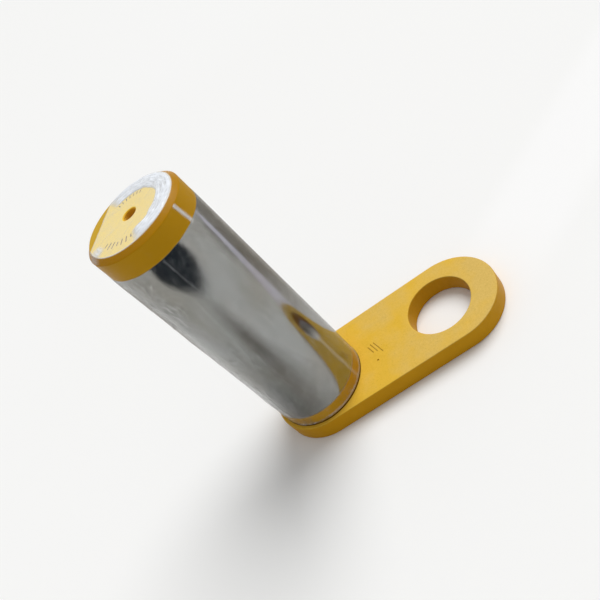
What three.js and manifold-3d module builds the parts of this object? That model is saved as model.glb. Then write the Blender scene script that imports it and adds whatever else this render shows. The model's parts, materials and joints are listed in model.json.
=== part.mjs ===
// Excavator bucket pin: a ground steel bar, welded into a flat flag plate that stops it
// from turning. It stands on the flag's outer face. Millimetres, +Z up along the pin.
// The origin is the middle of the flag's outer face, and the pin is on its -X end.
import * as THREE from 'three';
import { mergeVertices } from 'three/addons/utils/BufferGeometryUtils.js';
import Module from 'manifold-3d';

const GAP = 0.3;                 // clearance left between pieces that touch
const ROUND = 72;                // facets round the large turned shapes

// The bar, from the flag's outer face to its free tip
const BAR_RADIUS = 35;
const BAR_LENGTH = 210;
const TIP_CHAMFER = 3;
const TIP_FACE_RADIUS = 31.7;
const SPIGOT_RADIUS = 25;
const LEAD_IN = 0.8;             // small chamfer on the shoulder and on hole mouths

// The flag plate: a round-ended plate with a hole for the keeper at its free end
const FLAG_THICKNESS = 14;
const FLAG_END_RADIUS = 38;
const FLAG_CENTRES = 109.5;      // between the centres of the two round ends
const KEEPER_RADIUS = 24;
const KEEPER_INSET = 6;          // the hole sits this far in from the end's own centre
const PIN_X = -FLAG_CENTRES / 2;
const KEEPER_X = FLAG_CENTRES / 2 - KEEPER_INSET;

// The weld's V groove, half cut from the spigot and half from the plate
const GROOVE_DEPTH = 5;
const GROOVE_HALF_WIDTH = 4;
const WELD_RECESS = 0.5;

// The tapped hole in the tip, and the grease drillings from the flag end
const TIP_HOLE_RADIUS = 4.5;
const TIP_HOLE_DEPTH = 26;
const RECESS_RADIUS = 13;
const RECESS_DEPTH = 19;
const PORT_RADIUS = 5;
const PORT_DEPTH = 9;
const GALLERY_RADIUS = 3;
const GALLERY_TOP = 152;
const DRILL_POINT = 0.6;         // height of a drill point, as a share of its radius
const OUTLET_RADIUS = 2.5;
const OUTLET_HEIGHTS = [58, 148];

// The grease nipple: it screws in from below, with its head pointing down
const SEAT_Z = RECESS_DEPTH - GAP;
const HEX_ACROSS_FLATS = 11;
const HEX_HEIGHT = 5;
const SHANK_RADIUS = PORT_RADIUS - GAP;
const SHANK_TOP = SEAT_Z + 6.3;
const NIPPLE_BORE = 1.5;
const INLET_RADIUS = 0.8;
const NIPPLE_END = 2.7;          // the head stays this far above the flag's outer face
const VALVE_SEAT_Z = NIPPLE_END + 1.5;
const CRIMP_Z = SHANK_TOP - 3;
const CRIMP_RADIUS = 0.9;
const BALL_RADIUS = 1.25;
const BALL_GAP = 0.1;
const BALL_Z = VALVE_SEAT_Z - INLET_RADIUS + (BALL_RADIUS + BALL_GAP) * Math.SQRT2;
const WIRE_RADIUS = 0.18;
const SPRING_RADIUS = 0.95;
const SPRING_TURNS = 8;

// The clear wrapping film
const FILM_THICKNESS = 0.3;
const COVER_RADIUS = 31.2;
const COVER_HOLE = 6.5;
const FOLD_INNER_RADIUS = 21;
const FOLD_HEIGHT = 1.8;
const FOLD_FROM = THREE.MathUtils.degToRad(-80);
const FOLD_TO = THREE.MathUtils.degToRad(115);
const BARE_EDGE_RADIUS = 24.5;   // the cover stops here, and leaves a bare arc of the tip
const BARE_EDGE_TURN = THREE.MathUtils.degToRad(157);

const paint = new THREE.MeshStandardMaterial({ color: 0xd9a52c, roughness: 0.4, metalness: 0 });
const groundSteel = new THREE.MeshStandardMaterial({ color: 0x85867f, roughness: 0.25, metalness: 1 });
const zincSteel = new THREE.MeshStandardMaterial({ color: 0xb9b7a8, roughness: 0.35, metalness: 1 });
const springSteel = new THREE.MeshStandardMaterial({ color: 0x6e6e70, roughness: 0.3, metalness: 1 });
const film = new THREE.MeshStandardMaterial({
  color: 0xe8ecf0, roughness: 0.15, metalness: 0, transparent: true, opacity: 0.3,
});

const wasm = await Module();
wasm.setup();

// A closed geometry as a solid. Triangles that shrink to a line at a pole are dropped.
function toSolid(geometry) {
  const bare = geometry.clone();
  bare.deleteAttribute('normal');
  bare.deleteAttribute('uv');
  const merged = mergeVertices(bare, 1e-4);
  const corners = merged.index.array;
  const kept = [];
  for (let i = 0; i < corners.length; i += 3) {
    const [a, b, c] = [corners[i], corners[i + 1], corners[i + 2]];
    if (a !== b && b !== c && c !== a) kept.push(a, b, c);
  }
  return new wasm.Manifold(new wasm.Mesh({
    numProp: 3,
    vertProperties: new Float32Array(merged.attributes.position.array),
    triVerts: new Uint32Array(kept),
  }));
}

function toGeometry(solid) {
  const mesh = solid.getMesh();
  const geometry = new THREE.BufferGeometry();
  geometry.setAttribute('position', new THREE.BufferAttribute(mesh.vertProperties, 3));
  geometry.setIndex(new THREE.BufferAttribute(mesh.triVerts, 1));
  geometry.computeVertexNormals();
  return geometry;
}

function named(name, geometry, material) {
  const mesh = new THREE.Mesh(geometry, material);
  mesh.name = name;
  return mesh;
}

// Points are [radius, height], counterclockwise, from the axis to the axis or closed.
function turned(points, facets = ROUND) {
  const profile = points.map(([radius, height]) => new THREE.Vector2(radius, height));
  return new THREE.LatheGeometry(profile, facets).rotateX(Math.PI / 2);
}

function ring(points, facets = ROUND) {
  return turned([...points, points[0]], facets);
}

function cylinderAlongY(radius, length) {
  return new THREE.CylinderGeometry(radius, radius, length, 24).translate(0, length / 2, 0);
}

// One profile turns the outside, the tip hole and the grease drillings together.
function pinShaft() {
  const shoulder = FLAG_THICKNESS + GAP;
  const holeBottom = BAR_LENGTH - TIP_HOLE_DEPTH;
  const portTop = RECESS_DEPTH + PORT_DEPTH;
  const bar = toSolid(turned([
    [0, GALLERY_TOP + GALLERY_RADIUS * DRILL_POINT],
    [GALLERY_RADIUS, GALLERY_TOP],
    [GALLERY_RADIUS, portTop],
    [PORT_RADIUS, portTop],
    [PORT_RADIUS, RECESS_DEPTH],
    [RECESS_RADIUS, RECESS_DEPTH],
    [RECESS_RADIUS, LEAD_IN],
    [RECESS_RADIUS + LEAD_IN, 0],
    [SPIGOT_RADIUS - GROOVE_HALF_WIDTH, 0],
    [SPIGOT_RADIUS, GROOVE_DEPTH],
    [SPIGOT_RADIUS, shoulder],
    [BAR_RADIUS - LEAD_IN, shoulder],
    [BAR_RADIUS, shoulder + LEAD_IN],
    [BAR_RADIUS, BAR_LENGTH - TIP_CHAMFER],
    [TIP_FACE_RADIUS, BAR_LENGTH],
    [TIP_HOLE_RADIUS + LEAD_IN, BAR_LENGTH],
    [TIP_HOLE_RADIUS, BAR_LENGTH - LEAD_IN],
    [TIP_HOLE_RADIUS, holeBottom],
    [0, holeBottom - TIP_HOLE_RADIUS * DRILL_POINT],
  ]));
  const drilled = OUTLET_HEIGHTS.reduce((solid, height) => {
    const outlet = cylinderAlongY(OUTLET_RADIUS, BAR_RADIUS + 1).translate(0, 0, height);
    return solid.subtract(toSolid(outlet));
  }, bar);
  return named('pin_shaft', toGeometry(drilled), groundSteel);
}

function flagPlate() {
  const outline = new THREE.Shape();
  outline.absarc(FLAG_CENTRES / 2, 0, FLAG_END_RADIUS, -Math.PI / 2, Math.PI / 2);
  outline.absarc(PIN_X, 0, FLAG_END_RADIUS, Math.PI / 2, 3 * Math.PI / 2);
  const keeper = new THREE.Path().absarc(KEEPER_X, 0, KEEPER_RADIUS, 0, 2 * Math.PI, true);
  outline.holes.push(keeper);
  const blank = new THREE.ExtrudeGeometry(outline, {
    depth: FLAG_THICKNESS, bevelEnabled: false, curveSegments: ROUND / 2,
  });
  const bore = SPIGOT_RADIUS + GAP;
  const cutter = turned([
    [0, -1],
    [bore + GROOVE_HALF_WIDTH * (1 + 1 / GROOVE_DEPTH), -1],
    [bore, GROOVE_DEPTH],
    [bore, FLAG_THICKNESS + 1],
    [0, FLAG_THICKNESS + 1],
  ]).translate(PIN_X, 0, 0);
  return named('flag_plate', toGeometry(toSolid(blank).subtract(toSolid(cutter))), paint);
}

// The bead fills the V groove and stays a little inside the flag's outer face.
function flagWeld() {
  const middle = SPIGOT_RADIUS + GAP / 2;
  const slope = GROOVE_HALF_WIDTH / GROOVE_DEPTH;
  const halfWidth = GROOVE_HALF_WIDTH - slope * WELD_RECESS - GAP;
  const rootZ = GROOVE_DEPTH - 2 * GAP;
  const profile = [
    [middle - halfWidth, WELD_RECESS],
    [middle + halfWidth, WELD_RECESS],
    [middle + GAP / 2, rootZ],
    [middle - GAP / 2, rootZ],
  ];
  return named('flag_weld', ring(profile), paint);
}

function nippleBody() {
  const hexRadius = HEX_ACROSS_FLATS / Math.sqrt(3);
  const hexZ = SEAT_Z - HEX_HEIGHT / 2;
  const hex = new THREE.CylinderGeometry(hexRadius, hexRadius, HEX_HEIGHT, 6)
    .rotateX(Math.PI / 2).translate(0, 0, hexZ);
  const outside = turned([
    [0, NIPPLE_END],
    [1.9, NIPPLE_END],
    [3.25, NIPPLE_END + 2.3],
    [3.25, NIPPLE_END + 3.4],
    [2.4, NIPPLE_END + 4.9],
    [2.4, NIPPLE_END + 6.6],
    [3.6, NIPPLE_END + 8.4],
    [3.6, SEAT_Z - HEX_HEIGHT / 2],
    [SHANK_RADIUS, SEAT_Z - HEX_HEIGHT / 2],
    [SHANK_RADIUS, SHANK_TOP],
    [0, SHANK_TOP],
  ], 36);
  const seatTop = VALVE_SEAT_Z + NIPPLE_BORE - INLET_RADIUS;
  const bore = turned([
    [0, NIPPLE_END - 1],
    [INLET_RADIUS, NIPPLE_END - 1],
    [INLET_RADIUS, VALVE_SEAT_Z],
    [NIPPLE_BORE, seatTop],
    [NIPPLE_BORE, CRIMP_Z],
    [CRIMP_RADIUS, CRIMP_Z + 0.4],
    [CRIMP_RADIUS, SHANK_TOP + 1],
    [0, SHANK_TOP + 1],
  ], 36);
  const solid = toSolid(outside).add(toSolid(hex)).subtract(toSolid(bore));
  return named('grease_nipple_body', toGeometry(solid), zincSteel);
}

function checkBall() {
  const ball = named('nipple_check_ball', new THREE.SphereGeometry(BALL_RADIUS, 18, 12), springSteel);
  ball.position.z = BALL_Z;
  return ball;
}

class Helix extends THREE.Curve {
  constructor(radius, bottom, top, turns) {
    super();
    Object.assign(this, { radius, bottom, top, turns });
  }

  getPoint(t, target = new THREE.Vector3()) {
    const angle = 2 * Math.PI * this.turns * t;
    const height = THREE.MathUtils.lerp(this.bottom, this.top, t);
    return target.set(this.radius * Math.cos(angle), this.radius * Math.sin(angle), height);
  }
}

function nippleSpring() {
  const bottom = BALL_Z + BALL_RADIUS + BALL_GAP + WIRE_RADIUS;
  const top = CRIMP_Z - BALL_GAP - WIRE_RADIUS;
  const wire = new THREE.Shape().absarc(0, 0, WIRE_RADIUS, 0, 2 * Math.PI);
  const coil = new THREE.ExtrudeGeometry(wire, {
    steps: SPRING_TURNS * 12,
    curveSegments: 3,
    extrudePath: new Helix(SPRING_RADIUS, bottom, top, SPRING_TURNS),
  });
  return named('nipple_spring', coil, springSteel);
}

function filmSleeve() {
  const inner = BAR_RADIUS + GAP;
  const outer = inner + FILM_THICKNESS;
  const bottom = FLAG_THICKNESS + 2 * GAP;
  const top = BAR_LENGTH - TIP_CHAMFER;
  return named('film_sleeve', ring([[inner, bottom], [outer, bottom], [outer, top], [inner, top]]), film);
}

// A round of film on the tip face, gathered into a thicker fold round most of its edge.
function filmTipCover() {
  const bottom = BAR_LENGTH + GAP;
  const top = bottom + FILM_THICKNESS;
  const round = toSolid(ring([
    [COVER_HOLE, bottom], [COVER_RADIUS, bottom], [COVER_RADIUS, top], [COVER_HOLE, top],
  ]));
  const bareStrip = new THREE.BoxGeometry(COVER_RADIUS, 2 * COVER_RADIUS, 4)
    .translate(BARE_EDGE_RADIUS + COVER_RADIUS / 2, 0, BAR_LENGTH)
    .rotateZ(BARE_EDGE_TURN);
  const sector = new THREE.Shape();
  sector.absarc(0, 0, COVER_RADIUS - 0.5, FOLD_FROM, FOLD_TO, false);
  sector.absarc(0, 0, FOLD_INNER_RADIUS, FOLD_TO, FOLD_FROM, true);
  const fold = new THREE.ExtrudeGeometry(sector, {
    depth: FOLD_HEIGHT, bevelEnabled: false, curveSegments: ROUND / 2,
  }).translate(0, 0, bottom + FILM_THICKNESS / 2);
  const solid = round.subtract(toSolid(bareStrip)).add(toSolid(fold));
  return named('film_tip_cover', toGeometry(solid), film);
}

const pin = new THREE.Group();
pin.position.x = PIN_X;
pin.add(pinShaft(), flagWeld(), filmSleeve(), filmTipCover());
pin.add(nippleBody(), checkBall(), nippleSpring());

const group = new THREE.Group();
group.add(flagPlate(), pin);

export default group;
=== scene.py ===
import json
import math

import bpy
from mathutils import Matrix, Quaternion, Vector, noise

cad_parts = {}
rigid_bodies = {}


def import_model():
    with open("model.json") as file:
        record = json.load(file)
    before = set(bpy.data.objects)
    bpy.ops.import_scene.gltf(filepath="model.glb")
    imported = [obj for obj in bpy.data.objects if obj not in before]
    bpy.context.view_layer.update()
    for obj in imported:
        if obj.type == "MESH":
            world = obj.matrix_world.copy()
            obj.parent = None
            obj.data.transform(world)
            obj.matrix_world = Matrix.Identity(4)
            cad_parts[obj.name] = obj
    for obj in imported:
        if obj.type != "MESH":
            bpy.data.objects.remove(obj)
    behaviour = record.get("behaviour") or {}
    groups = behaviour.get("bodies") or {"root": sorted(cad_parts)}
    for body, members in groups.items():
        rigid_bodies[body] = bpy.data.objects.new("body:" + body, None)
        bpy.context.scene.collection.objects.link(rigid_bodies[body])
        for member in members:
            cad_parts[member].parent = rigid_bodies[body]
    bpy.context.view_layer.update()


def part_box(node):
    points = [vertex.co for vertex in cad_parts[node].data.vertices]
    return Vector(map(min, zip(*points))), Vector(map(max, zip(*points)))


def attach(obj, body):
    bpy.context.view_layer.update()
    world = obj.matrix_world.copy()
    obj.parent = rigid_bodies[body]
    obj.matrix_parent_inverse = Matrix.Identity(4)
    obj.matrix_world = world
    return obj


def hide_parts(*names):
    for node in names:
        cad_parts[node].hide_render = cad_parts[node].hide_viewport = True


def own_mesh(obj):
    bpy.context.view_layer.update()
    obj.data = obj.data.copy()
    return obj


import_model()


# ---------------------------------------------------------------- camera
# The camera looks down past the pin's tip from in front of the flag's long side. It is
# held tilted, so that the pin lies across the picture, with its tip at the upper left.
camera_place = Vector((0.0951, -0.3650, 0.3729))
camera_aim = Vector((-0.0110, -0.0285, 0.1100))
camera_tilt = math.radians(-45.6)

bpy.ops.object.camera_add(location=camera_place)
camera = bpy.context.object
camera.name = "camera"
camera.data.sensor_width = 36
camera.data.lens = 43.25
camera.data.clip_start = 0.01
camera.rotation_mode = "QUATERNION"
level = (camera_aim - camera_place).to_track_quat("-Z", "Y")
camera.rotation_quaternion = level @ Quaternion((0, 0, 1), camera_tilt)
bpy.context.scene.camera = camera


# ---------------------------------------------------------------- bar
# A steel bar, turned and then ground bright, with a chamfer at its free tip and a spigot
# at its lower end that passes through the flag. The tip is tapped for a puller, and the
# grease drillings run up from the lower end to two outlets at the back.
MM = 0.001
bar_low, bar_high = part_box("pin_shaft")
flag_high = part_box("flag_plate")[1]
pin_x = (bar_low.x + bar_high.x) / 2
bar_radius = (bar_high.x - bar_low.x) / 2 / MM
bar_length = bar_high.z / MM
flag_thickness = flag_high.z / MM

ARC_STEPS = 4


def rounded(corners):
    """The points of a section whose corners are (radius, height, rounding), in mm."""
    points = []
    for i, (radius, height, rounding) in enumerate(corners):
        corner = Vector((radius, height))
        if not rounding:
            points.append(corner)
            continue
        back = (Vector(corners[i - 1][:2]) - corner).normalized()
        ahead = (Vector(corners[(i + 1) % len(corners)][:2]) - corner).normalized()
        half = back.angle(ahead) / 2
        centre = corner + (back + ahead).normalized() * rounding / math.sin(half)
        start = corner + back * rounding / math.tan(half) - centre
        end = corner + ahead * rounding / math.tan(half) - centre
        for step in range(ARC_STEPS + 1):
            spoke = start.slerp(end, step / ARC_STEPS).normalized()
            points.append(centre + spoke * rounding)
    return points


def turn(name, corners, facets):
    """Turns a closed section about the pin's axis. It may touch the axis."""
    section = rounded(corners)
    bpy.ops.object.select_all(action="DESELECT")
    bpy.ops.mesh.primitive_circle_add(vertices=len(section))
    piece = bpy.context.object
    piece.name = name
    for vertex, (radius, height) in zip(piece.data.vertices, section):
        vertex.co = (radius * MM, 0, height * MM)
    bpy.ops.object.mode_set(mode="EDIT")
    bpy.ops.mesh.select_all(action="SELECT")
    bpy.ops.mesh.spin(steps=facets, angle=2 * math.pi, center=(0, 0, 0), axis=(0, 0, 1))
    bpy.ops.mesh.select_all(action="SELECT")
    bpy.ops.mesh.remove_doubles(threshold=0.002 * MM)
    bpy.ops.mesh.delete_loose()
    bpy.ops.mesh.select_all(action="SELECT")
    bpy.ops.mesh.normals_make_consistent(inside=False)
    bpy.ops.transform.translate(value=(pin_x, 0, 0))
    bpy.ops.object.mode_set(mode="OBJECT")
    return piece


def place_in_mesh(piece):
    """Moves an object's place and turn into its mesh."""
    bpy.ops.object.select_all(action="DESELECT")
    piece.select_set(True)
    bpy.context.view_layer.objects.active = piece
    bpy.ops.object.transform_apply(location=True, rotation=True, scale=True)


def apply_modifier(piece, kind, **settings):
    modifier = piece.modifiers.new(kind.lower(), kind)
    for setting, value in settings.items():
        setattr(modifier, setting, value)
    bpy.ops.object.select_all(action="DESELECT")
    piece.select_set(True)
    bpy.context.view_layer.objects.active = piece
    bpy.ops.object.modifier_apply(modifier=modifier.name)


def combine(piece, tool, operation):
    """Cuts a tool from a piece, or joins it on, and removes the tool."""
    apply_modifier(piece, "BOOLEAN", object=tool, operation=operation, solver="EXACT")
    bpy.data.objects.remove(tool)


def join(pieces):
    bpy.ops.object.select_all(action="DESELECT")
    for piece in pieces:
        piece.select_set(True)
    bpy.context.view_layer.objects.active = pieces[0]
    bpy.ops.object.join()
    return bpy.context.object


def smooth(piece, degrees):
    bpy.ops.object.select_all(action="DESELECT")
    piece.select_set(True)
    bpy.context.view_layer.objects.active = piece
    bpy.ops.object.shade_smooth_by_angle(angle=math.radians(degrees))


spigot_radius = 25
shoulder = flag_thickness + 0.35
tip_face_radius = 31.7
tip_chamfer = 3
drilling_radius = 3
drilling_top = 152
port_radius = 5
port_top = 28
recess_radius = 13
recess_top = 19
tip_hole_radius = 4.5
tip_hole_low = 184
thread_depth = 0.45
thread_pitch = 1
thread_turns = 17
thread = [
    (tip_hole_radius + depth, bar_length - 0.6 - thread_pitch * (turn_number + share), 0)
    for turn_number in range(thread_turns)
    for share, depth in ((0, 0), (0.5, thread_depth))
]
bar = turn("bar", [
    (0, drilling_top + 1.8, 0),
    (drilling_radius, drilling_top, 0),
    (drilling_radius, port_top, 0),
    (port_radius, port_top, 0),
    (port_radius, recess_top, 0.2),
    (recess_radius, recess_top, 0.5),
    (recess_radius, 0.8, 0),
    (recess_radius + 0.8, 0, 0),
    (spigot_radius - 4, 0, 0),
    (spigot_radius, 5, 0),
    (spigot_radius, shoulder, 0),
    (bar_radius, shoulder, 0.8),
    (bar_radius, bar_length - tip_chamfer, 0.9),
    (tip_face_radius, bar_length, 0.7),
    (tip_hole_radius + 0.5, bar_length, 0.2),
    *thread,
    (tip_hole_radius, tip_hole_low, 0),
    (0, tip_hole_low - 2.7, 0),
], facets=192)

outlet_heights = (58, 148)
outlet_radius = 2.5
outlets = []
for height in outlet_heights:
    bpy.ops.mesh.primitive_cylinder_add(
        vertices=48, radius=outlet_radius * MM, depth=40 * MM,
        location=(pin_x, 20 * MM, height * MM), rotation=(math.pi / 2, 0, 0),
    )
    place_in_mesh(bpy.context.object)
    outlets.append(bpy.context.object)
combine(bar, join(outlets), "DIFFERENCE")


# Two rows of plain ticks are punched into the tip face, where a size mark would be.
def tick(angle, reach, width, length, depth):
    """A cutter for one tick, at an angle and a distance from the tip's centre."""
    bpy.ops.mesh.primitive_cube_add(
        size=1,
        scale=(length * MM, width * MM, 2 * depth * MM),
        location=(
            pin_x + reach * math.cos(angle) * MM,
            reach * math.sin(angle) * MM,
            bar_length * MM,
        ),
        rotation=(0, 0, angle),
    )
    place_in_mesh(bpy.context.object)
    return bpy.context.object


lower_row = [
    tick(
        math.radians(-140 + 8.6 * count), reach=23.2, width=0.9,
        length=4.8 if count % 3 else 3, depth=0.6,
    )
    for count in range(9)
]
upper_row = [
    tick(math.radians(60 + 9 * count), reach=18.0, width=0.7, length=2.6, depth=0.5)
    for count in range(7)
]
combine(bar, join(lower_row + upper_row), "DIFFERENCE")
smooth(bar, 35)


class Signal:
    """One output of a material's nodes. Python's operators on it add Math nodes."""

    def __init__(self, finish, socket):
        self.finish = finish
        self.socket = socket

    def maths(self, operation, first, second=0.0, clamp=False):
        settings = {"operation": operation, "use_clamp": clamp}
        return self.finish.node("ShaderNodeMath", settings, {0: first, 1: second})

    def __add__(self, other):
        return self.maths("ADD", self, other)

    def __radd__(self, other):
        return self.maths("ADD", other, self)

    def __sub__(self, other):
        return self.maths("SUBTRACT", self, other)

    def __rsub__(self, other):
        return self.maths("SUBTRACT", other, self)

    def __mul__(self, other):
        return self.maths("MULTIPLY", self, other)

    def __rmul__(self, other):
        return self.maths("MULTIPLY", other, self)

    def __truediv__(self, other):
        return self.maths("DIVIDE", self, other)

    def held(self):
        """The same number, kept between 0 and 1."""
        return self.maths("ADD", self, 0.0, clamp=True)

    def size(self):
        """The same number without its sign."""
        return self.maths("ABSOLUTE", self)

    def or_more(self, other):
        """The larger of two numbers."""
        return self.maths("MAXIMUM", self, other)


class Finish:
    """A material that is being made, on coordinates in the part's own frame."""

    def __init__(self, name):
        self.material = bpy.data.materials.new(name)
        self.material.use_nodes = True
        self.tree = self.material.node_tree
        self.tree.nodes.clear()
        self.place = self.node("ShaderNodeTexCoord", {}, {}, "Object")

    def node(self, kind, settings, inputs, output=0):
        """Adds a node: its settings first, then its sockets' values or links."""
        made = self.tree.nodes.new(kind)
        for setting, value in settings.items():
            setattr(made, setting, value)
        for socket, value in inputs.items():
            if isinstance(value, Signal):
                self.tree.links.new(value.socket, made.inputs[socket])
            else:
                made.inputs[socket].default_value = value
        return None if output is None else Signal(self, made.outputs[output])

    def axis(self, letter):
        return self.node("ShaderNodeSeparateXYZ", {}, {0: self.place}, letter)

    def upward(self):
        """How far the surface faces up: 1 on a flat top, 0 on a wall."""
        normal = self.node("ShaderNodeNewGeometry", {}, {}, "Normal")
        return self.node("ShaderNodeSeparateXYZ", {}, {0: normal}, "Z")

    def from_pin(self):
        """The distance from the pin's axis, in mm."""
        across = self.node("ShaderNodeCombineXYZ", {}, {
            "X": self.axis("X") - pin_x, "Y": self.axis("Y"),
        })
        return self.node("ShaderNodeVectorMath", {"operation": "LENGTH"}, {0: across}, "Value") / MM

    def noise(self, grain, detail=2.0, stretch=(1, 1, 1)):
        """Noise with grains of that size in mm, longer along an axis by its stretch."""
        scale = [1 / (grain * MM * times) for times in stretch]
        place = self.node("ShaderNodeMapping", {}, {0: self.place, "Scale": scale})
        return self.node(
            "ShaderNodeTexNoise", {}, {"Vector": place, "Scale": 1.0, "Detail": detail}
        )

    def step(self, value, at, width):
        """0 below a value and 1 above it, with a soft edge of that width."""
        return ((value - at) / width + 0.5).held()

    def blend(self, share, first, second):
        """A colour between two colours: the second one where the share is 1."""
        return self.node(
            "ShaderNodeMix", {"data_type": "RGBA"}, {0: share, 6: first, 7: second}, 2
        )

    def bump(self, height, depth):
        """A surface that rises by that depth in mm where the height is 1."""
        return self.node("ShaderNodeBump", {}, {
            "Height": height, "Distance": depth * MM, "Strength": 1.0,
        })

    def surface(self, **sockets):
        """The shader itself. A socket's name is written with _ for each space."""
        inputs = {name.replace("_", " "): value for name, value in sockets.items()}
        shader = self.node("ShaderNodeBsdfPrincipled", {}, inputs)
        self.node("ShaderNodeOutputMaterial", {}, {"Surface": shader}, None)
        return self.material

    def cover(self, piece):
        piece.data.materials.clear()
        piece.data.materials.append(self.material)


# Both ends are painted. The film over the tip stops short of a bare edge on one side.
tip_band = 17.5
base_band = 10.9
bare_side = math.radians(157)
bare_distance = 24.5
hole_mouth = 5.2
shaded_side_paint = (0.43, 0.222, 0.004, 1)
bare_paint = (0.58, 0.35, 0.016, 1)
wrapped_paint = (0.93, 0.71, 0.115, 1)
shaded_rim_paint = (0.42, 0.195, 0.001, 1)
hole_paint = (0.80, 0.45, 0.03, 1)
punched_shade_paint = (0.16, 0.09, 0.015, 1)

bar_finish = Finish("ground_bar")
height = bar_finish.axis("Z") / MM
edge_waver = (bar_finish.noise(9) - 0.5) * 0.8
tip_paint = bar_finish.step(height + edge_waver, bar_length - tip_band, 0.5)
base_paint = 1 - bar_finish.step(height + edge_waver, flag_thickness + base_band, 1.6)
painted = tip_paint.or_more(base_paint)
grinding = bar_finish.noise(0.35, stretch=(40, 40, 1))
polish = bar_finish.noise(22, detail=4, stretch=(1, 1, 3))
stains = bar_finish.noise(34, detail=6, stretch=(1, 1, 2))
steel_shade = bar_finish.blend(
    bar_finish.step(polish, 0.5, 0.5), (0.25, 0.255, 0.24, 1), (0.33, 0.335, 0.33, 1)
)
steel_shade = bar_finish.blend(
    bar_finish.step(stains, 0.56, 0.22) * 0.7, steel_shade, (0.245, 0.23, 0.20, 1)
)
toward_bare = (
    (bar_finish.axis("X") - pin_x) * math.cos(bare_side)
    + bar_finish.axis("Y") * math.sin(bare_side)
) / MM
lit_face_paint = bar_finish.blend(
    bar_finish.step(toward_bare, bare_distance, 0.8), wrapped_paint, bare_paint
)
# Faces that look up take a lighter copy of the paint than the sides: painted light on the flat
# faces, and painted shade on the sides and the base band.
paint_shade = bar_finish.blend(
    bar_finish.step(bar_finish.upward(), 0.9, 0.12), shaded_side_paint, lit_face_paint
)
# The chamfer is darkened with a painted shade.
on_chamfer = bar_finish.step(bar_finish.upward(), 0.35, 0.2) * (
    1 - bar_finish.step(bar_finish.upward(), 0.9, 0.1)
)
paint_shade = bar_finish.blend(on_chamfer, paint_shade, shaded_rim_paint)
in_hole = 1 - bar_finish.step(bar_finish.from_pin(), hole_mouth, 0.2)
paint_shade = bar_finish.blend(in_hole * tip_paint, paint_shade, hole_paint)
# The bottoms of the punched ticks are darkened with a painted shade.
punched_shade = bar_finish.step(bar_length - height, 0.2, 0.1) * bar_finish.step(
    height, bar_length - 1.2, 0.2
) * bar_finish.step(bar_finish.upward(), 0.85, 0.1)
paint_shade = bar_finish.blend(punched_shade * 0.8, paint_shade, punched_shade_paint)
orange_peel = bar_finish.noise(1.6, detail=3)
bar_finish.surface(
    Base_Color=bar_finish.blend(painted, steel_shade, paint_shade),
    Metallic=1 - painted,
    Roughness=0.07 + 0.07 * polish + 0.18 * painted + 0.03 * grinding,
    Specular_IOR_Level=0.06,
    Coat_Weight=0.3 * (1 - painted),
    Coat_Roughness=0.03,
    Normal=bar_finish.bump(orange_peel * painted + grinding * 0.04, 0.035),
)
bar_finish.cover(bar)
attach(bar, "pin")
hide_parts("pin_shaft")


# ---------------------------------------------------------------- flag
# A steel plate, flame-cut with two round ends, a keeper hole at its free end and a bore
# for the spigot. Its edges are eased, its weld groove is on the outer face, and it is
# sprayed yellow.
flag_end_radius = 38
flag_half_centres = 54.75
keeper_x = 48.75
keeper_radius = 24
groove_depth = 5
groove_flare = 4.8
edge_rounding = 0.9

bpy.ops.object.select_all(action="DESELECT")
bpy.ops.mesh.primitive_cylinder_add(
    vertices=192, radius=flag_end_radius * MM, depth=flag_thickness * MM,
    location=(pin_x, 0, flag_thickness / 2 * MM),
)
flag = bpy.context.object
flag.name = "flag"
place_in_mesh(flag)
bpy.ops.object.mode_set(mode="EDIT")
bpy.ops.mesh.select_all(action="SELECT")
bpy.ops.mesh.bisect(plane_co=(pin_x, 0, 0), plane_no=(1, 0, 0), clear_outer=True)
bpy.ops.mesh.extrude_edges_move(
    TRANSFORM_OT_translate={"value": (flag_half_centres * MM, 0, 0)}
)
bpy.ops.object.mode_set(mode="OBJECT")
apply_modifier(flag, "MIRROR", use_clip=True, merge_threshold=0.01 * MM)


def cutter(x, radius, low, high, low_radius=None):
    """A round cutter between two heights, wider at its lower end if that is asked for."""
    bpy.ops.mesh.primitive_cone_add(
        vertices=144, radius1=(low_radius or radius) * MM, radius2=radius * MM,
        depth=(high - low) * MM, location=(x * MM, 0, (low + high) / 2 * MM),
    )
    place_in_mesh(bpy.context.object)
    return bpy.context.object


bore = spigot_radius + 0.3
for tool in (
    cutter(keeper_x, keeper_radius, -1, flag_thickness + 1),
    cutter(pin_x / MM, bore, -1, flag_thickness + 1),
    cutter(pin_x / MM, bore, -1, groove_depth, low_radius=bore + groove_flare),
):
    combine(flag, tool, "DIFFERENCE")
apply_modifier(
    flag, "BEVEL", width=edge_rounding * MM, segments=3, limit_method="ANGLE",
    angle_limit=math.radians(35),
)

# Short strokes and a dot are punched into the flag beside the pin, as a generic stamp.
stroke_width = 0.65
stroke_slant = math.radians(20)
stroke_places = [(-9.4, -0.8, 8), (-6.6, -0.6, 10), (-3.4, -2.2, 13)]
stamps = []
for x, y, length in stroke_places:
    bpy.ops.mesh.primitive_cube_add(
        size=1, scale=(stroke_width * MM, length * MM, 0.9 * MM),
        location=(x * MM, y * MM, flag_high.z), rotation=(0, 0, stroke_slant),
    )
    place_in_mesh(bpy.context.object)
    stamps.append(bpy.context.object)
bpy.ops.mesh.primitive_uv_sphere_add(
    segments=16, ring_count=8, radius=0.8 * MM, location=(-7.1 * MM, -13 * MM, flag_high.z)
)
place_in_mesh(bpy.context.object)
stamps.append(bpy.context.object)
combine(flag, join(stamps), "DIFFERENCE")
smooth(flag, 40)
apply_modifier(flag, "WEIGHTED_NORMAL", keep_sharp=True, weight=100)

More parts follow.
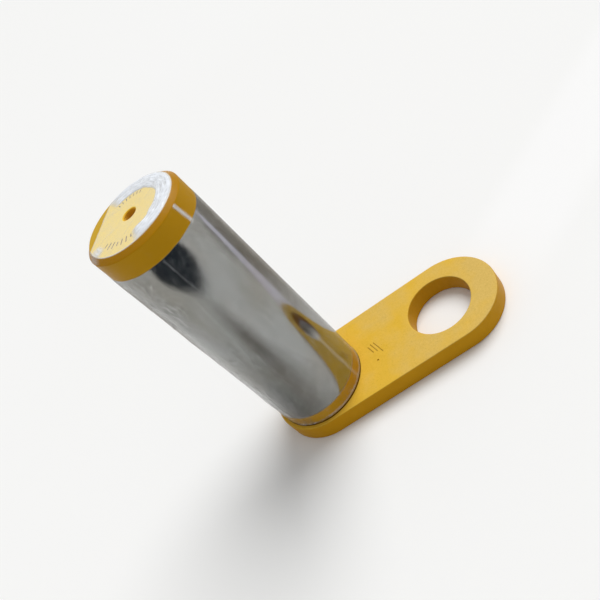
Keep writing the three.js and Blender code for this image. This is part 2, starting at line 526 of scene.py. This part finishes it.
flag_finish = Finish("sprayed_flag")
# Faces that look up take a lighter paint than the cut sides: painted light on the top and painted
# shade on the sides.
top_lit_share = flag_finish.step(flag_finish.upward(), 0.6, 0.6)
mottle = flag_finish.noise(14, detail=5)
spray = flag_finish.noise(1.3, detail=3)
scale_marks = flag_finish.noise(5, detail=3)
fresh = flag_finish.blend(
    (mottle + spray) * 0.5, (0.66, 0.40, 0.025, 1), (0.84, 0.52, 0.07, 1)
)
dusted = flag_finish.blend(spray, (0.59, 0.39, 0.085, 1), (0.77, 0.53, 0.15, 1))
patches = flag_finish.noise(26, detail=6)
far_end = (flag_finish.axis("X") / MM + 60) / 260
top_colour = flag_finish.blend(
    flag_finish.step(far_end + (patches - 0.5) * 1.8, 0.45, 0.6), fresh, dusted
)
specks = flag_finish.step(flag_finish.noise(0.9, detail=2), 0.68, 0.08)
top_colour = flag_finish.blend(specks * 0.35, top_colour, (0.42, 0.25, 0.03, 1))
shaded_side_colour = flag_finish.blend(mottle, (0.49, 0.235, 0.002, 1), (0.54, 0.27, 0.004, 1))
flag_colour = flag_finish.blend(top_lit_share, shaded_side_colour, top_colour)
depth = flag_thickness - flag_finish.axis("Z") / MM
punched_shade = flag_finish.step(depth, 0.2, 0.1) * flag_finish.step(flag_finish.upward(), 0.6, 0.3)
# A painted shade darkens the top face round the pin's foot, along the joint, and the punched marks.
joint_shade = 1 - flag_finish.step(flag_finish.from_pin(), bar_radius + 0.2, 0.4)
flag_finish.surface(
    Base_Color=flag_finish.blend(
        (joint_shade * top_lit_share).or_more(punched_shade * 0.4), flag_colour, (0.13, 0.07, 0.010, 1)
    ),
    Roughness=0.36 + 0.12 * mottle + 0.06 * spray,
    Specular_IOR_Level=0.07,
    Normal=flag_finish.bump(spray * 0.6 + scale_marks, 0.16),
)
flag_finish.cover(flag)
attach(flag, "pin")
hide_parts("flag_plate")


# ---------------------------------------------------------------- weld
# A bead of weld metal laid in one pass round the groove on the flag's outer face. It
# joins bar and flag, and is sprayed over with them.
weld_middle = spigot_radius + 0.15
weld_half_width = 3.3
weld_edge = 1.25
weld_root = 4.4
weld_ripples = 66
ripple_depth = 0.16

bpy.ops.object.select_all(action="DESELECT")
bpy.ops.mesh.primitive_torus_add(
    major_segments=256, minor_segments=12, major_radius=weld_middle, minor_radius=1
)
weld = bpy.context.object
weld.name = "weld_bead"
bpy.ops.object.mode_set(mode="EDIT")
bpy.ops.mesh.subdivide(number_cuts=1)
bpy.ops.object.mode_set(mode="OBJECT")
for vertex in weld.data.vertices:
    angle = math.atan2(vertex.co.y, vertex.co.x)
    across = math.hypot(vertex.co.x, vertex.co.y) - weld_middle
    drop = -vertex.co.z
    lag = angle * weld_ripples / (2 * math.pi) + 0.7 * across * across
    ripple = abs((lag % 1) - 0.5) * 2
    waver = noise.noise(Vector((4 * math.cos(angle), 4 * math.sin(angle), 0)))
    if drop > 0:
        height = weld_edge - drop * (0.72 + 0.2 * waver - ripple_depth * ripple)
    else:
        height = weld_edge + (weld_root - weld_edge) * (1 - abs(across))
    reach = weld_middle + across * weld_half_width
    vertex.co = (
        pin_x + reach * math.cos(angle) * MM, reach * math.sin(angle) * MM, height * MM
    )
smooth(weld, 60)
flag_finish.cover(weld)
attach(weld, "pin")
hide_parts("flag_weld")


# ---------------------------------------------------------------- grease nipple
# A steel nipple, turned with a head for the grease gun, a hexagon for the wrench and a
# thread, then plated with zinc. It is screwed up into the port at the bar's lower end.
nipple_low = 2.7
nipple_high = 25
inlet_radius = 0.8
outlet_bore = 0.9
chamber_radius = 1.5
hexagon_flats = 11
hexagon_corner = hexagon_flats / 2 / math.cos(math.pi / 6)
hexagon_low = 13.7
hexagon_high = 18.7
nipple = turn("grease_nipple", [
    (inlet_radius, nipple_low, 0),
    (1.9, nipple_low, 0.15),
    (3.25, 5.0, 0.15),
    (3.25, 6.1, 0.3),
    (2.4, 7.6, 0.3),
    (2.4, 9.3, 0.3),
    (3.6, 11.1, 0.3),
    (3.6, 18.0, 0),
    (4.7, 18.0, 0),
    *[
        (4.7 - depth, 19.5 + turn_number + share, 0)
        for turn_number in range(5)
        for share, depth in ((0, 0), (0.5, thread_depth))
    ],
    (4.7, nipple_high - 0.5, 0),
    (4.2, nipple_high, 0),
    (outlet_bore, nipple_high, 0),
    (outlet_bore, 22.0, 0),
    (chamber_radius, 22.0, 0),
    (chamber_radius, 4.9, 0),
    (inlet_radius, 4.2, 0),
], facets=72)
bpy.ops.object.select_all(action="DESELECT")
bpy.ops.mesh.primitive_cylinder_add(
    vertices=6, radius=hexagon_corner * MM, depth=7 * MM,
    location=(pin_x, 0, (hexagon_low + hexagon_high) / 2 * MM),
)
hexagon = bpy.context.object
place_in_mesh(hexagon)
chamfer = turn("hexagon_chamfer", [
    (2.6, hexagon_low, 0),
    (5.35, hexagon_low, 0),
    (6.5, hexagon_low + 0.7, 0),
    (6.5, hexagon_high - 0.7, 0),
    (5.35, hexagon_high, 0),
    (2.6, hexagon_high, 0),
], facets=72)
combine(hexagon, chamfer, "INTERSECT")
combine(nipple, hexagon, "UNION")
smooth(nipple, 30)

zinc_finish = Finish("zinc_plating")
zinc_clouds = zinc_finish.noise(2.5, detail=4)
zinc_finish.surface(
    Base_Color=zinc_finish.blend(zinc_clouds, (0.50, 0.51, 0.52, 1), (0.64, 0.65, 0.66, 1)),
    Metallic=1.0,
    Roughness=0.22 + 0.16 * zinc_clouds,
    Normal=zinc_finish.bump(zinc_finish.noise(0.25), 0.006),
)
zinc_finish.cover(nipple)
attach(nipple, "pin")
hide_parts("grease_nipple_body")


# ---------------------------------------------------------------- check ball and spring
# A ball closes the nipple's inlet, and a coil of wire holds it down and shortens as it
# lifts. Both are plain spring steel, and lie loose in the nipple's chamber.
spring_finish = Finish("spring_steel")
spring_finish.surface(
    Base_Color=(0.46, 0.46, 0.45, 1),
    Metallic=1.0,
    Roughness=0.16 + 0.14 * spring_finish.noise(0.5, detail=3),
)
spring_finish.cover(bpy.data.objects["nipple_check_ball"])

spring_low, spring_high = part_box("nipple_spring")
wire_radius = 0.18
coil_turns = 8
coil_radius = (spring_high.x - spring_low.x) / 2 / MM - wire_radius
coil_length = (spring_high.z - spring_low.z) / MM
bpy.ops.object.select_all(action="DESELECT")
bpy.ops.mesh.primitive_circle_add(
    vertices=12, radius=wire_radius * MM, rotation=(math.pi / 2, 0, 0),
    location=(coil_radius * MM, 0, spring_low.z + wire_radius * MM),
)
spring = bpy.context.object
spring.name = "coil_spring"
place_in_mesh(spring)
apply_modifier(
    spring, "SCREW", steps=28, render_steps=28, iterations=coil_turns,
    screw_offset=(coil_length - 2 * wire_radius) / coil_turns * MM,
)
bpy.ops.object.mode_set(mode="EDIT")
bpy.ops.mesh.select_all(action="SELECT")
bpy.ops.mesh.fill_holes(sides=0)
bpy.ops.mesh.normals_make_consistent(inside=False)
bpy.ops.transform.translate(value=(pin_x, 0, 0))
bpy.ops.object.mode_set(mode="OBJECT")
smooth(spring, 50)
spring_finish.cover(spring)
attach(spring, "pin")
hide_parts("nipple_spring")
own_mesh(spring)


# ---------------------------------------------------------------- film sleeve
# Clear packing film, wound once round the bar and drawn tight. Creases run along it, and
# they are deepest on the side away from the flag and at the lower end, where it is slack.
sleeve_low = flag_thickness + 1.6
sleeve_high = bar_length - 2.9
sleeve_spokes = 256
sleeve_rings = 150
film_gap = 0.14
film_skin = 0.06
band_low = bar_length - tip_band - 1.5


def held(value):
    """A number kept between 0 and 1."""
    return min(1.0, max(0.0, value))


def line_at(distance, width, flatness=2):
    """1 on a line, and close to 0 at twice its width from it."""
    return math.exp(-(distance / width) ** flatness)


def crease(place, sharpness):
    """A height between 0 and 1 that peaks along thin wandering lines."""
    return max(0.0, 1 - sharpness * abs(noise.noise(place)))


def add_film(name, points, faces, haze):
    """A thin closed skin on a grid of points. Its haze is kept at every point."""
    mesh = bpy.data.meshes.new(name)
    mesh.from_pydata(points, [], faces)
    mesh.attributes.new("haze", "FLOAT", "POINT").data.foreach_set("value", haze)
    film = bpy.data.objects.new(name, mesh)
    bpy.context.collection.objects.link(film)
    apply_modifier(film, "SOLIDIFY", thickness=film_skin * MM, offset=1.0)
    smooth(film, 180)
    return film


def grid_faces(spokes, rings):
    """The faces of a grid that closes on itself round the axis."""
    return [
        (
            ring * spokes + spoke,
            ring * spokes + (spoke + 1) % spokes,
            (ring + 1) * spokes + (spoke + 1) % spokes,
            (ring + 1) * spokes + spoke,
        )
        for ring in range(rings)
        for spoke in range(spokes)
    ]


sleeve_points = []
sleeve_haze = []
for ring in range(sleeve_rings + 1):
    height = sleeve_low + (sleeve_high - sleeve_low) * ring / sleeve_rings
    for spoke in range(sleeve_spokes):
        angle = 2 * math.pi * spoke / sleeve_spokes
        side = Vector((math.cos(angle), math.sin(angle), 0))
        far_side = max(0.0, 0.2 - side.x) ** 2
        near_end = max(0.0, 1 - (height - sleeve_low) / 9)
        slack = held(0.035 + 0.6 * far_side + 0.3 * near_end)
        long_crease = crease(side * 2.6 + Vector((0, 0, height / 46)), 5)
        cross_crease = crease(side * 3.4 + Vector((9, 4, height / 15)), 7)
        fine_crease = crease(side * 9 + Vector((5, 2, height / 24)), 6)
        fold = slack * (0.55 * long_crease + 0.4 * cross_crease + 0.12 * fine_crease)
        reach = bar_radius + film_gap + 0.75 * fold
        sleeve_points.append((
            pin_x + side.x * reach * MM, side.y * reach * MM, height * MM
        ))

        # A scratch line runs along the steel, and a streak of haze along it near the lower end is a
        # painted highlight. A strip of haze across the tip band, where the film is clear, is a
        # painted highlight too, and the lower edge is hazy.
        on_band = held((height - band_low) / 2)
        turned = math.degrees(angle)
        scratch = line_at(turned - 281, 0.8) * held(height / 8 - 20)
        highlight_streak = line_at(turned - 330, 2.2) * held(2.6 - height / 32)
        band_highlight = line_at(turned - 326.8 + (height - 200) / 6, 1.9, flatness=4)
        lower_edge = max(0.0, 1 - (height - sleeve_low) / 1.6)
        sleeve_haze.append(min(1.0, (
            0.004 * (1 - on_band)
            + 0.6 * fold ** 1.7 * (1 - 0.95 * on_band)
            + (0.04 + 0.2 * far_side) * fine_crease ** 8 * (1 - 0.9 * on_band)
            + 0.045 * scratch * (1 - on_band)
            + 0.09 * highlight_streak
            + 0.36 * band_highlight * on_band
            + 0.35 * lower_edge
        )))
sleeve = add_film(
    "film_sleeve_skin", sleeve_points, grid_faces(sleeve_spokes, sleeve_rings), sleeve_haze
)

film_finish = Finish("packing_film")
haze = film_finish.node("ShaderNodeAttribute", {"attribute_name": "haze"}, {}, "Fac")
glance = film_finish.node("ShaderNodeLayerWeight", {}, {"Blend": 0.25}, "Facing")
# Where the film is seen edge-on it grows hazier and is tinted dark along the bar's outline, a
# painted shade. Its wrinkles on the side away from the flag are tinted dark too, also a painted
# shade.
edge_on_haze_and_shade = film_finish.step(glance, 0.62, 0.3)
on_steel = 1 - film_finish.step(film_finish.axis("Z") / MM, bar_length - tip_band, 4)
away_from_flag = film_finish.step((pin_x - film_finish.axis("X")) / MM, 0, 14)
milk = film_finish.noise(6, detail=5)
scuffs = film_finish.noise(0.5, detail=3, stretch=(1, 1, 9))
blotches = film_finish.noise(4.5, detail=6, stretch=(1, 1, 1.6))
wrinkles = film_finish.noise(2.4, detail=4, stretch=(1, 1, 1.7))
scuffed = film_finish.step(blotches, 0.58, 0.16)
shaded_wrinkle = film_finish.step(wrinkles, 0.5, 0.14) * on_steel * away_from_flag
pale_film = film_finish.blend(haze, (0.93, 0.95, 0.95, 1), (0.90, 0.94, 1.0, 1))
shade_film_colour = (0.11, 0.11, 0.09, 1)
film_finish.surface(
    Base_Color=film_finish.blend(
        (shaded_wrinkle * 0.85).or_more(edge_on_haze_and_shade * on_steel), pale_film, shade_film_colour
    ),
    Roughness=0.08 + 0.25 * haze,
    Alpha=(haze * (0.6 + 0.8 * milk) + (0.36 * edge_on_haze_and_shade + 0.012 * scuffed) * on_steel).held(),
    IOR=1.5,
    Normal=film_finish.bump(film_finish.noise(2.2, detail=4) + 0.3 * scuffs, 0.05),
)
film_finish.cover(sleeve)
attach(sleeve, "pin")
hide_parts("film_sleeve")


# ---------------------------------------------------------------- film over the tip
# The same film drawn over the bar's tip. It is gathered in a thick crumpled fold on the
# side towards the flag, and stops short on the far side, where the paint is bare.
tip_spokes = 256
tip_rings = 72
film_hole = 5.4
face_edge = tip_face_radius - 0.2
fold_middle = 17
fold_half_width = 97
fold_outer = 31.2
small_gather_middle = -149


def around(angle, middle, half_width, soft):
    """1 within an arc, and 0 beyond it, with soft ends. All angles are in degrees."""
    off = abs((math.degrees(angle) - middle + 180) % 360 - 180)
    return held((half_width - off) / soft + 0.5)


def gap(spot, start, end):
    """How far a spot lies from a straight line between two places, in mm."""
    from_start = spot - Vector((*start, 0))
    run = Vector((*end, 0)) - Vector((*start, 0))
    share = from_start.dot(run) / run.length_squared
    return (from_start - run * held(share)).length


straight_creases = [
    ((12.2, 3.8), (17.0, 8.4)),
    ((-9.5, 12.5), (-17.0, 15.0)),
    ((-12.0, -4.0), (-22.0, -8.0)),
    ((3.0, -9.0), (-4.0, -17.0)),
]
tip_points = []
tip_haze = []
for ring in range(tip_rings + 1):
    share = 1 - ring / tip_rings
    for spoke in range(tip_spokes):
        angle = 2 * math.pi * spoke / tip_spokes
        side = Vector((math.cos(angle), math.sin(angle), 0))

        # The film runs from the hole over the face and down the chamfer, or to its cut edge.
        whole = tip_face_radius + 4.0
        toward_bare = math.cos(angle - bare_side)
        ragged = 0.5 * noise.noise(side * 9) + 0.25 * noise.noise(side * 30)
        if toward_bare > 0:
            whole = min(whole, (bare_distance + ragged) / toward_bare)
        along = film_hole + (whole - film_hole) * share
        over = max(0.0, along - face_edge)
        reach = min(along, face_edge) + over * 0.76
        height = bar_length + film_gap - over * 0.66
        spot = side * reach

        # The thick fold arches between its inner edge and the rim, and is crumpled all over.
        gathered = around(angle, fold_middle, fold_half_width, 14)
        inner = 20 + 1.6 * noise.noise(side * 2.2) - around(angle, -40, 30, 30)
        depth_in = held((reach - inner) / (fold_outer - inner))
        in_fold = gathered * held((reach - inner) / 1.2) * held((fold_outer + 0.2 - reach) / 0.5)
        arch = math.sin(math.pi * depth_in) ** 0.6
        crumple = (
            0.55 * crease(side * 1.6 + Vector((3, 1, reach / 2.8)), 3)
            + 0.45 * crease(side * 4.4 + Vector((1, 8, reach / 1.5)), 3)
        )
        line = max(
            line_at(gap(spot, start, end), 0.35) for start, end in straight_creases
        )
        small_gather = around(angle, small_gather_middle, 8, 9) * held((reach - 24) / 3)
        small_gather = small_gather * (1 if over <= 0.2 else 0.35)
        fold = in_fold * arch * (0.7 + 0.7 * crumple)
        fold = fold + small_gather * 0.5 * crumple + 0.28 * line * (1 - in_fold)
        tip_points.append((
            pin_x + spot.x * MM, spot.y * MM, (height + fold) * MM
        ))

        # Haze: thin on the face, thick in the folds, and bright along each edge. The bright line
        # along the rim is a painted highlight, and the thin haze on the face is partly the film's
        # own milkiness and partly a painted reflection.
        rim_highlight = line_at(along - tip_face_radius + 0.15, 0.42)
        rolled_edge = line_at(reach - inner - 0.5, 0.6) * gathered
        cut_edge = max(0.0, 1 - (whole - along) / 0.7) if whole < tip_face_radius else 0
        clear = 0.17 + 0.07 * line if over <= 0.2 else 0.004
        cloudy = 0.72 + 0.3 * crumple
        cover = clear + (cloudy - clear) * max(in_fold, 0.55 * small_gather)
        tip_haze.append(min(1.0, max(cover, 0.52 * rim_highlight) + 0.2 * rolled_edge + 0.25 * cut_edge))
tip_film = add_film(
    "film_tip_skin", tip_points, grid_faces(tip_spokes, tip_rings), tip_haze
)
film_finish.cover(tip_film)
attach(tip_film, "pin")
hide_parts("film_tip_cover")


# ---------------------------------------------------------------- floor and light
# A plain pale floor, a broad soft lamp high behind the flag's free end, and a weak even
# sky. Cards that only the bar's polish sees stand in for the rest of the room.
bpy.ops.mesh.primitive_plane_add(size=60, location=(0, 0, -0.1 * MM))
floor = bpy.context.object
floor.name = "floor"
floor_finish = Finish("pale_floor")
floor_finish.surface(Base_Color=(0.90, 0.90, 0.89, 1), Roughness=0.9)
floor_finish.cover(floor)

lamp_direction = Vector((0.42, 0.42, 0.81))
bpy.ops.object.light_add(type="SUN", location=lamp_direction * 3)
lamp = bpy.context.object
lamp.name = "soft_lamp"
lamp.data.angle = math.radians(42)
lamp.data.energy = 2.30
lamp.rotation_mode = "QUATERNION"
lamp.rotation_quaternion = lamp_direction.to_track_quat("Z", "Y")

world = bpy.data.worlds.new("studio")
world.use_nodes = True
world.node_tree.nodes["Background"].inputs["Color"].default_value = (1, 1, 1, 1)
world.node_tree.nodes["Background"].inputs["Strength"].default_value = 0.44
bpy.context.scene.world = world
bpy.context.scene.view_settings.view_transform = "Standard"


# The cards are soft-edged and lie on the floor. They glow with their own tint instead of being lit,
# so what the bar reflects of them is a painted reflection. The dark ones are dim parts of the room,
# a painted shadow of the pin, and painted shade under the keeper hole, and the bright one is
# daylight from a window.
def card(name, place, size, turned, tint, share, glow=1.0, soft=0.2):
    """A card at a place from the pin's axis, in mm. Its share is how much it hides."""
    cards_so_far = sum(1 for other in bpy.data.objects if other.name.endswith("_card"))
    height = 0.2 + 0.1 * cards_so_far
    bpy.ops.mesh.primitive_plane_add(
        size=1, location=(pin_x + place[0] * MM, place[1] * MM, height * MM),
        rotation=(0, 0, math.radians(turned)),
    )
    made = bpy.context.object
    made.name = name + "_card"
    made.scale = (size[0] * MM, size[1] * MM, 1)
    finish = Finish(name)
    in_width = ((0.5 - finish.axis("X").size()) / soft).held()
    in_length = ((0.5 - finish.axis("Y").size()) / soft).held()
    finish.surface(
        Base_Color=(0, 0, 0, 1), Roughness=1.0, Specular_IOR_Level=0.0,
        Emission_Color=tint, Emission_Strength=glow, Alpha=in_width * in_length * share,
    )
    finish.cover(made)
    made.visible_camera = False
    made.visible_diffuse = False
    made.visible_shadow = False


card(
    "dim_wall", place=(80, 400), size=(960, 760), turned=-10,
    tint=(0.22, 0.18, 0.13, 1), share=0.75,
)
card(
    "shadow", place=(-14, -165), size=(150, 330), turned=-2,
    tint=(0.10, 0.08, 0.05, 1), share=0.7, soft=0.45,
)
card(
    "gloom", place=(60, -560), size=(640, 500), turned=4,
    tint=(0.02, 0.03, 0.045, 1), share=1.0, soft=0.07,
)
card(
    "hole_shade", place=(118, 0), size=(44, 64), turned=0,
    tint=(0.09, 0.075, 0.06, 1), share=0.8, soft=0.3,
)
card(
    "daylight", place=(290, 115), size=(420, 84), turned=36,
    tint=(0.86, 0.84, 1.0, 1), share=0.8, glow=1.35,
)
